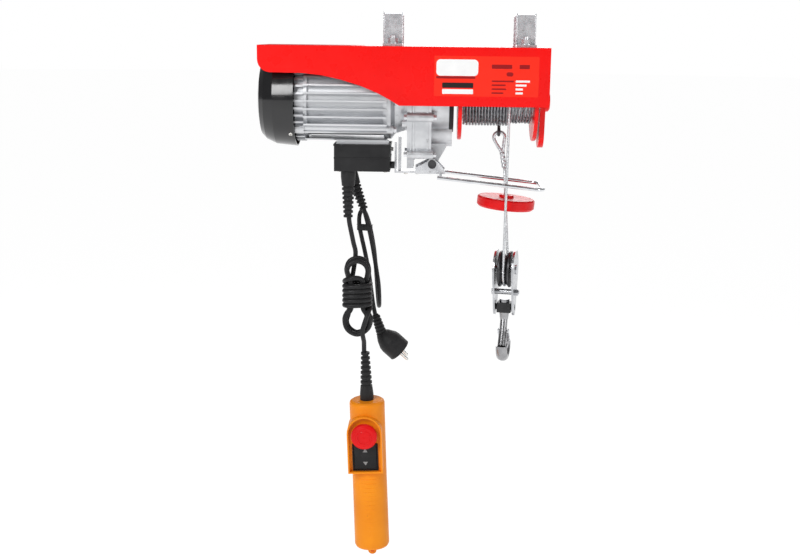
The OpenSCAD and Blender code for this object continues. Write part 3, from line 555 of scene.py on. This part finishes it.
def hank_route():
    """The folds of the pendant cable, then the turns that bind their middle, then the way out."""
    cx, cy = HANK_AT
    out = []

    def put(u, v, z):
        out.append((cx + u, cy + v, z))

    for fold, (neck, bow, low) in enumerate(FOLDS):
        depth = LAYER * (1 - fold)
        for u, z in ((-neck, -416), (-neck, -436), (-neck, -455), (-0.84 * bow, -466),
                     (-bow, -477), (-0.74 * bow, low + 7), (0, low), (0.74 * bow, low + 7),
                     (bow, -477), (0.84 * bow, -466), (neck, -455), (neck, -436), (neck, -416)):
            put(u, depth, z)
        if fold == len(FOLDS) - 1:
            break
        after = FOLDS[fold + 1][0]
        bow, high = BOW_TOP - 1.5 * fold, -375 - 4 * fold
        for part, u, z in ((0.15, bow * 0.95, -403), (0.25, bow, -393), (0.38, bow * 0.72, high - 5),
                           (0.5, 0, high), (0.62, -bow * 0.72, high - 5), (0.75, -bow, -393),
                           (0.85, -(bow + after) / 2, -404)):
            put(u, depth - LAYER * part, z)
    # Up and over to the left, where the binding starts
    for point in ((7, -11.5, -406.5), (-1, -15, -403.5), (-10, -14.8, -405), (-17.5, -9.5, -408)):
        put(*point)
    steps = 16
    for k in range(int(BIND_TURNS * steps) + 1):
        angle = 2 * math.pi * k / steps
        u, v = -math.cos(angle), math.sin(angle)
        grow = (abs(u) ** BIND_CORNER + abs(v) ** BIND_CORNER) ** (-1 / BIND_CORNER)
        put(BIND_HALF[0] * u * grow, BIND_HALF[1] * v * grow, BIND_TOP - BIND_PITCH * k / steps)
    for point in ((18.5, -8.5, -459), (15.5, -14.3, -467), (12.5, -15.6, -476), (10, -15.4, -485)):
        put(*point)
    return out


def make_pendant_cable():
    """The pendant cable, one cord from the box's strain relief through the hank to the handset."""
    route = [Vector(p) * MM for p in PENDANT_TOP + hank_route() + PENDANT_END]
    path = smooth_path(route, 2.2 * MM)
    cord = sweep("pendant_cable", path, PENDANT_D / 2 * MM, sides=16)
    place_piece(cord, "root", "black_rubber", cable_jacket(), "pendant_cord_top", "pendant_hank",
                "pendant_cord_end")


def make_mains_lead():
    """The folded mains lead, from its strain relief to the plug."""
    path = smooth_path([Vector(p) * MM for p in MAINS_ROUTE], 2.5 * MM)
    cord = sweep("mains_lead", path, MAINS_D / 2 * MM, sides=16)
    place_piece(cord, "root", "black_rubber", cable_jacket(), "mains_cord")


ROPE_D = 4.2
ROPE_LAY = 27.0
STRANDS = 6
STRAND_DEPTH = 0.42
DRUM_Z = -128
LAYER_RADII = (32.4, 36.3)
TURN_PITCH = 4.7
LOOSE_TURNS = 6
FRONT_TOP = (78, -40.9, -126)
EYE_END = (78, 39.5, -236)
SHEAVE_AT = (82, 0, -393)
SHEAVE_R = 26
BLOCK_YAW = 12


def rope(name, path, fine=2.2):
    """A six-strand wire rope along a path in metres, with a ring of points every `fine` mm."""
    return sweep(name, smooth_path(path, fine * MM), ROPE_D / 2 * MM, sides=18, lobes=STRANDS,
                 lobe_depth=STRAND_DEPTH * MM, lay=ROPE_LAY * MM)


def make_rope_falls():
    """The two falls between the drum, the sheave and the fixed eye, and the half turn below."""
    yaw = math.radians(BLOCK_YAW)
    across = mm(SHEAVE_R * math.sin(yaw), SHEAVE_R * math.cos(yaw), 0)
    sheave = mm(*SHEAVE_AT)
    front_foot, back_foot = sheave - across, sheave + across
    falls = (("front_rope", mm(*FRONT_TOP), front_foot, "front_fall"),
             ("back_rope", mm(*EYE_END), back_foot, "back_fall"))
    for name, top, foot, node in falls:
        path = [top + (foot - top) * k / 12 for k in range(13)]
        fall = rope(name, path)
        dress(fall, bright_rope())
        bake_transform(fall)
        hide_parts(node)
    arc = []
    for k in range(25):
        angle = math.pi * k / 24
        arc.append(sheave - across * math.cos(angle) - mm(0, 0, SHEAVE_R * math.sin(angle)))
    turn = rope("rope_half_turn", arc, fine=1.6)
    place_piece(turn, "block", "rope", bright_rope(), "rope_turn")


def make_rope_winding():
    """The rope on the drum: an inner layer from right to left, and an outer one back to the fall."""
    low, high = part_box("rope_winding")
    inner, outer = LAYER_RADII
    pitch = TURN_PITCH
    left, right, leave = low.x / MM + ROPE_D / 2, high.x / MM - ROPE_D / 2, FRONT_TOP[0] + 1.0
    per_turn = 24
    path = []
    turns = (right - left) / pitch
    for k in range(int(turns * per_turn) + 1):
        t = k / per_turn
        loose = t < LOOSE_TURNS
        x = right - pitch * t + 0.35 * math.sin(2.3 * t) * loose
        r = inner + (0.5 * math.sin(1.7 * t) if loose else 0.0)
        path.append((x, r, 2 * math.pi * t))
    angle0 = path[-1][2]
    x0 = path[-1][0]
    climb = per_turn // 2
    turns = (leave - x0) / pitch
    for k in range(1, int(turns * per_turn) + 1):
        t = k / per_turn
        share = min(1.0, k / climb)
        r = inner + (outer - inner) * (3 * share ** 2 - 2 * share ** 3)
        path.append((x0 + pitch * t, r, angle0 + 2 * math.pi * t))
    points = [mm(x, -r * math.sin(a), DRUM_Z + r * math.cos(a)) for x, r, a in path]
    winding = sweep("rope_wound", points, ROPE_D / 2 * MM, sides=12, lobes=STRANDS,
                    lobe_depth=STRAND_DEPTH * MM, lay=ROPE_LAY * MM)
    place_piece(winding, "drum", "rope", wire_rope(), "rope_winding")


# ---- detail pieces ------------------------------------------------------------

BOX_W = 86
STRAP_SIDE = 28.9
GRIP_TOP = (-137, -25, -607)
GRIP_LEAN = 2.3
GRIP_R = 28.5
STOP_AT = (-4, -50)
ROCKER_AT = (-4, -87.5)
HANDSET = Matrix.Translation(mm(*GRIP_TOP)) @ Matrix.Rotation(math.radians(-GRIP_LEAN), 4, "Y")


def ring_plate(name, outer, inner, thickness, place):
    """A flat ring between two outlines with the same number of points, its edges softened."""
    n = len(outer)
    soft = 0.25 * thickness
    points, faces = [], []
    for outline, z, grow in ((outer, 0, 0), (outer, thickness - soft, 0), (outer, thickness, -soft),
                             (inner, thickness, soft), (inner, thickness - soft, 0), (inner, 0, 0)):
        for x, y in outline:
            reach = math.hypot(x, y)
            points.append(place @ mm(x * (1 + grow / reach), y * (1 + grow / reach), z))
    for level in range(6):
        after = (level + 1) % 6
        for k in range(n):
            m = (k + 1) % n
            faces.append((level * n + k, level * n + m, after * n + m, after * n + k))
    return add_mesh(name, points, faces, smooth=False)


def bar_plate(name, low, high, thickness, y, corner=1.0):
    """A thin plate on the front panel, between two corners (x, z) in mm."""
    place = facing(((low[0] + high[0]) / 2, y, (low[1] + high[1]) / 2), (0, -1, 0))
    outline = rounded(high[0] - low[0], high[1] - low[1], corner)
    return plate(name, outline, thickness, place, bevel=0.1)


def make_label():
    """The data label: blank plates and bars, with nothing written on them."""
    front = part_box("housing")[0].y / MM
    panel = bar_plate("label_panel", (-37, -118), (118, -59), 0.25, front, corner=1.5)
    place_piece(panel, "root", "housing_red", printed("label_red", (0.94, 0.022, 0.006)))
    on_panel = front - 0.25
    rows = [-95.2 - 5.8 * k for k in range(4)]
    white = [bar_plate("tag", (-34, -88), (28, -64), 0.3, on_panel, corner=6),
             bar_plate("strip", (-25, -114.5), (21, -107.5), 0.25, on_panel)]
    for z, end in zip(rows, (105, 100, 95, 95)):
        white.append(bar_plate("row", (84, z - 1.5), (end, z + 1.5), 0.2, on_panel, corner=0.7))
    place_piece(join("label_white", white), "root", "white_plastic",
                printed("label_white", (0.86, 0.86, 0.86)))
    black = [bar_plate("band", (-25, -105.5), (21, -98), 0.25, on_panel)]
    place_piece(join("label_black", black), "root", "black_plastic",
                printed("label_black", (0.012, 0.010, 0.010)))
    # The first dark bar is a painted shadow strip under the white tag; the other dark bars are print.
    dark = [bar_plate("shade", (-34, -92), (24, -88.6), 0.2, on_panel, corner=1.2),
            bar_plate("head", (48, -77), (78, -71), 0.2, on_panel),
            bar_plate("head", (89, -77), (104, -71), 0.2, on_panel),
            bar_plate("mark", (70, -88), (80, -82), 0.2, on_panel, corner=2.8)]
    for z, end in zip(rows, (81, 69, 70, 66)):
        dark.append(bar_plate("row", (48.5, z - 1.1), (end, z + 1.1), 0.2, on_panel, corner=0.6))
    place_piece(join("label_print_and_shadow", dark), "root", "housing_red",
                printed("label_print_and_shadow", (0.30, 0.004, 0.006)))


def cut(piece, tool):
    """Takes the tool's shape out of a piece."""
    change = piece.modifiers.new("cut", "BOOLEAN")
    change.object = tool
    change.solver = "EXACT"
    view = bpy.context.evaluated_depsgraph_get()
    data = bpy.data.meshes.new_from_object(piece.evaluated_get(view))
    piece.modifiers.clear()
    piece.data = data
    bpy.data.objects.remove(tool)


def screw(name, place, r, height):
    """A pan head screw with a cross recess."""
    head = lathe(name, [(0, -0.5), (r * 0.9, -0.5), (r, 0.1), (r, height * 0.45),
                        (r * 0.86, height * 0.8), (r * 0.55, height * 0.96), (0, height)],
                 place, steps=28)
    slots = []
    for turn in (0, 90):
        at = place @ Matrix.Rotation(math.radians(turn), 4, "Z") @ Matrix.Translation(
            mm(0, 0, height * 0.45))
        slots.append(plate("slot", rounded(r * 1.15, r * 0.26, r * 0.1, steps=2), height, at, 0.05))
    for slot in slots:
        cut(head, slot)
    return head


def make_screws():
    """Screws of the fan cover, the lever, the terminal box and the handset."""
    cover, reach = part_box("fan_cover")[1].x / MM, 71.8
    heads = []
    for turn in (45, 135, 225, 315):
        a = math.radians(turn)
        out = (0.0, math.cos(a), math.sin(a))
        at = (cover - 6, reach * out[1], DRUM_Z + reach * out[2])
        heads.append(screw("head", facing(at, out), 3.2, 2.0))
    place_piece(join("cover_screws", heads), "root", "zinc", nickel())
    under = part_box("lever_strap")[0].z / MM
    heads = [screw("head", facing((x, -7, under), (0, 0, -1), up=(0, 1, 0)), 3.6, 2.8)
             for x in (-79, -61)]
    place_piece(join("lever_screws", heads), "lever", "zinc", nickel())
    box_low, box_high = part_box("terminal_box")
    heads = []
    for x in (box_low.x / MM + 7, box_low.x / MM + 79):
        for y in (box_low.y / MM + 7, box_high.y / MM - 7):
            heads.append(screw("head", facing((x, y, box_low.z / MM), (0, 0, -1), up=(0, 1, 0)),
                               3.0, 1.8))
    place_piece(join("box_screws", heads), "root", "zinc", nickel())
    heads = []
    for z in (-25, -105, -225):
        for x in (-15, 15):
            y = math.sqrt(GRIP_R ** 2 - x ** 2) - 0.6
            heads.append(screw("head", HANDSET @ facing((x, y, z), (x / GRIP_R, y / GRIP_R, 0)),
                               2.8, 1.8))
    place_piece(join("handset_screws", heads), "root", "zinc", nickel())


def make_box_seam():
    """The bead where the two halves of the terminal box meet."""
    low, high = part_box("terminal_box")
    width, depth = BOX_W, (high.y - low.y) / MM
    cx, cy = low.x / MM + width / 2, (low.y + high.y) / 2 / MM
    outer, inner = rounded(width + 1.4, depth + 1.4, 2.5), rounded(width - 1, depth - 1, 1.5)
    bead = ring_plate("box_seam", outer, inner, 2.0, Matrix.Translation(mm(cx, cy, -216.5)))
    place_piece(bead, "root", "black_plastic", black_plastic())


def make_strap_edges():
    """The raised edges of the two hanger straps."""
    for side in ("left", "right"):
        low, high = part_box("hanger_" + side)
        x_low, x_high = low.x / MM, high.x / MM
        middle = (x_low + x_high) / 2
        reach = min(15.0, (x_high - x_low) / 2) - 1.2
        y, z, r = STRAP_SIDE, high.z / MM, 1.1
        edges = []
        for x in (middle - reach, middle + reach):
            route = [(x, -y, -43), (x, -y, z - 6), (x, -y, z - 2.5), (x, -y + 0.8, z - 0.8),
                     (x, -y + 2.5, z), (x, 0, z), (x, y - 2.5, z), (x, y - 0.8, z - 0.8),
                     (x, y, z - 2.5), (x, y, z - 6), (x, y, -43)]
            edges.append(sweep("edge", smooth_path([mm(*p) for p in route], 1.5 * MM), r * MM,
                               sides=10))
        place_piece(join("strap_edges_" + side, edges), "root", "zinc", zinc_plate())


def make_rope_eye():
    """The rope's eye on its thimble, the pressed ferrule and the rope's short tail."""
    cx, cy, cz = 68.5, 42.4, -187.8
    loop = [(77.2, 39.7, -232), (75.6, 40.2, -224), (72.4, 40.8, -213)]
    for turn in range(200, -21, -20):
        a = math.radians(turn)
        loop.append((cx + 9.4 * math.cos(a), cy, cz + 9.4 * math.sin(a)))
    loop += [(75.6, 41.2, -213), (76.2, 41.2, -222), (76.8, 41.0, -231)]
    eye = rope("rope_eye_loop", [mm(*p) for p in loop], fine=1.6)
    place_piece(eye, "root", "rope", bright_rope(), "rope_eye")
    inside = [(74.0, 40.9, -211), (64.5, 42.0, -198)]
    for turn in range(190, -11, -20):
        a = math.radians(turn)
        inside.append((cx + 8.3 * math.cos(a), cy, cz + 8.3 * math.sin(a)))
    inside += [(75.6, 42.0, -198), (74.8, 41.0, -210)]
    thimble = sweep("thimble", smooth_path([mm(*p) for p in inside], 1.2 * MM), 2.35 * MM, sides=12)
    place_piece(thimble, "root", "zinc", zinc_plate())
    start, end = Vector((73.4, 40.8, -211)), Vector(EYE_END)
    place = facing(start, end - start)
    length = (end - start).length
    profile = [(0, 0), (2.6, 0), (3.7, 0.5), (4.2, 1.6)]
    for k in range(1, 4):
        at = length * k / 4
        profile += [(4.2, at - 2.0), (3.75, at - 1.2), (3.75, at + 1.2), (4.2, at + 2.0)]
    profile += [(4.2, length - 1.6), (3.7, length - 0.5), (2.6, length), (0, length)]
    ferrule = lathe("ferrule", profile, place, steps=36)
    place_piece(ferrule, "root", "zinc", cast_aluminium())


def make_hub_dark_band():
    """The dark band round the end of the gear cover's bay."""
    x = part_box("gear_cover")[1].x / MM - 6
    place = facing((x, 0, DRUM_Z), (1, 0, 0))
    # A black ring round the end of the gear cover, where a dark band shows.
    seal = lathe("hub_dark_band", [(47, -0.3), (48, -0.3), (48.6, 0.3), (48.6, 6.0), (48, 6.6), (30, 6.6),
                              (30, 6.0), (47, 6.0), (47, -0.3)], place, steps=72)
    place_piece(seal, "root", "black_rubber", black_rubber())


def casing_outline(grow):
    """The gearbox's outline, grown by some mm: the hull of its upper and its lower circle."""
    outline = []
    upper, lower = (0.0, 54.0 + grow), (-45.0, 46.0 + grow)
    for k in range(120):
        a = 2 * math.pi * k / 120
        centre, r = max(upper, lower, key=lambda c: c[0] * math.sin(a) + c[1])
        outline.append((r * math.cos(a), centre + r * math.sin(a)))
    return outline


def make_casing_flanges():
    """The raised flanges round the gearbox's seams: how far each stands out, its place, its width."""
    flanges = [ring_plate("flange", casing_outline(grow), casing_outline(-1), width,
                          facing((x, 0, DRUM_Z), (1, 0, 0)))
               for grow, x, width in ((2.2, -72.5, 3.2), (1.6, -68.6, 3.4), (1.2, -46.4, 2.4))]
    place_piece(join("casing_flanges", flanges), "root", "cast_aluminium", cast_aluminium())


def make_handset_details():
    """Grip ribs, the rocker's frame and marks, and the ring on the stop button."""
    ribs = []
    for k in range(14):
        z = -128 - 7.4 * k
        arc = []
        for j in range(17):
            a = math.radians(-90 - 40 + 5 * j)
            fade = 0.55 * (1 - abs(j - 8) / 8)
            r = GRIP_R - 1.4 + fade
            arc.append(HANDSET @ mm(r * math.cos(a), r * math.sin(a), z))
        ribs.append(sweep("rib", arc, 1.1 * MM, sides=10))
    place_piece(join("grip_ribs", ribs), "root", "handset_orange", orange_plastic())
    at = HANDSET @ facing((ROCKER_AT[0], -GRIP_R - 1, ROCKER_AT[1]), (0, -1, 0))
    frame_ring = ring_plate("rocker_frame", rounded(41.4, 45.6, 1.5), rounded(37.6, 42.2, 0.8), 2.4, at)
    place_piece(frame_ring, "root", "black_plastic", black_plastic())
    marks = []
    for way in (1, -1):
        place = HANDSET @ facing((ROCKER_AT[0], -29.6, ROCKER_AT[1] + 11 * way),
                                 (0, -1, 0.08 * way))
        outline = [(-4, -3 * way), (4, -3 * way), (0, 3.5 * way)][::way]
        marks.append(plate("mark", outline, 0.6, place, bevel=0.15))
    place_piece(join("rocker_marks", marks), "rocker", "white_plastic",
                printed("mark_grey", (0.30, 0.30, 0.30)))
    face = HANDSET @ facing((STOP_AT[0], -GRIP_R - 18.1, STOP_AT[1]), (0, -1, 0))
    ring = lathe("button_ring", [(9.2, -0.3), (9.6, 0.7), (10.4, 0.95), (11.8, 0.8), (12.4, -0.3)],
                 face, steps=48)
    place_piece(ring, "stop_button", "button_red", red_plastic())


def make_cord_tie():
    """The strap that holds two runs of the folded mains lead together."""
    half = 7.6

    def stretched(d, corner):
        return [(x + math.copysign(half, x), y) for x, y in rounded(d, d, corner, 8)]

    turn = Matrix.Rotation(math.radians(-13.8), 4, "Z")
    place = Matrix.Translation(mm(-144, 12.5, -336)) @ turn
    tie = ring_plate("cord_tie", stretched(10.4, 5.19), stretched(7.7, 3.84), 9, place)
    place_piece(tie, "root", "black_rubber", black_rubber())


make_pendant_cable()
make_mains_lead()
make_rope_falls()
make_rope_winding()
finish_cad_nodes()
make_label()
make_screws()
make_box_seam()
make_strap_edges()
make_rope_eye()
make_hub_dark_band()
make_casing_flanges()
make_handset_details()
make_cord_tie()


# ---- stage ------------------------------------------------------------------

FLOOR_GAP = 0.12


def add_floor():
    """A pale round floor below the hanging handset."""
    z = cad_low.z - FLOOR_GAP
    points = [(0, 0, z)]
    faces = []
    steps = 96
    for k in range(steps):
        angle = 2 * math.pi * k / steps
        points.append((30 * math.cos(angle), 30 * math.sin(angle), z))
        faces.append((0, 1 + k, 1 + (k + 1) % steps))
    floor = add_mesh("floor", points, faces, smooth=False)
    mat = bpy.data.materials.new("floor_white")
    mat.use_nodes = True
    shader = mat.node_tree.nodes["Principled BSDF"]
    shader.inputs["Base Color"].default_value = (0.12, 0.12, 0.12, 1)
    shader.inputs["Roughness"].default_value = 0.9
    shader.inputs["Specular IOR Level"].default_value = 0.0
    shader.inputs["Emission Color"].default_value = (1, 1, 1, 1)
    shader.inputs["Emission Strength"].default_value = 0.97
    dress(floor, mat)


def add_area_light(name, at, aim, size, power, tall=None):
    """A soft box in metres and watts, aimed at a point."""
    data = bpy.data.lights.new(name, "AREA")
    data.energy = power
    data.shape = "RECTANGLE"
    data.size = size
    data.size_y = tall or size
    light = bpy.data.objects.new(name, data)
    light.location = at
    light.rotation_euler = (Vector(aim) - Vector(at)).to_track_quat("-Z", "Y").to_euler()
    bpy.context.scene.collection.objects.link(light)


def add_lights():
    """Four soft boxes and a dim surrounding that the camera sees as white."""
    middle = (cad_low + cad_high) / 2
    add_area_light("key", (-1.2, -1.7, 0.7), middle, 0.9, 30.0)
    add_area_light("fill", (1.7, -1.4, 0.1), middle, 0.7, 9.0, tall=1.5)
    add_area_light("top", (0.0, 0.1, 1.3), middle, 1.2, 12.0)
    add_area_light("back", (0.3, 1.8, 0.3), middle, 1.2, 12.0)
    world = bpy.data.worlds.new("studio")
    world.use_nodes = True
    nodes, links = world.node_tree.nodes, world.node_tree.links
    back = nodes["Background"]
    path = nodes.new("ShaderNodeLightPath")
    span = nodes.new("ShaderNodeMapRange")
    span.inputs["To Min"].default_value = 0.16
    span.inputs["To Max"].default_value = 1.0
    links.new(path.outputs["Is Camera Ray"], span.inputs["Value"])
    links.new(span.outputs["Result"], back.inputs["Strength"])
    back.inputs["Color"].default_value = (1, 1, 1, 1)
    bpy.context.scene.world = world
    bpy.context.scene.view_settings.view_transform = "Standard"


add_floor()
add_lights()
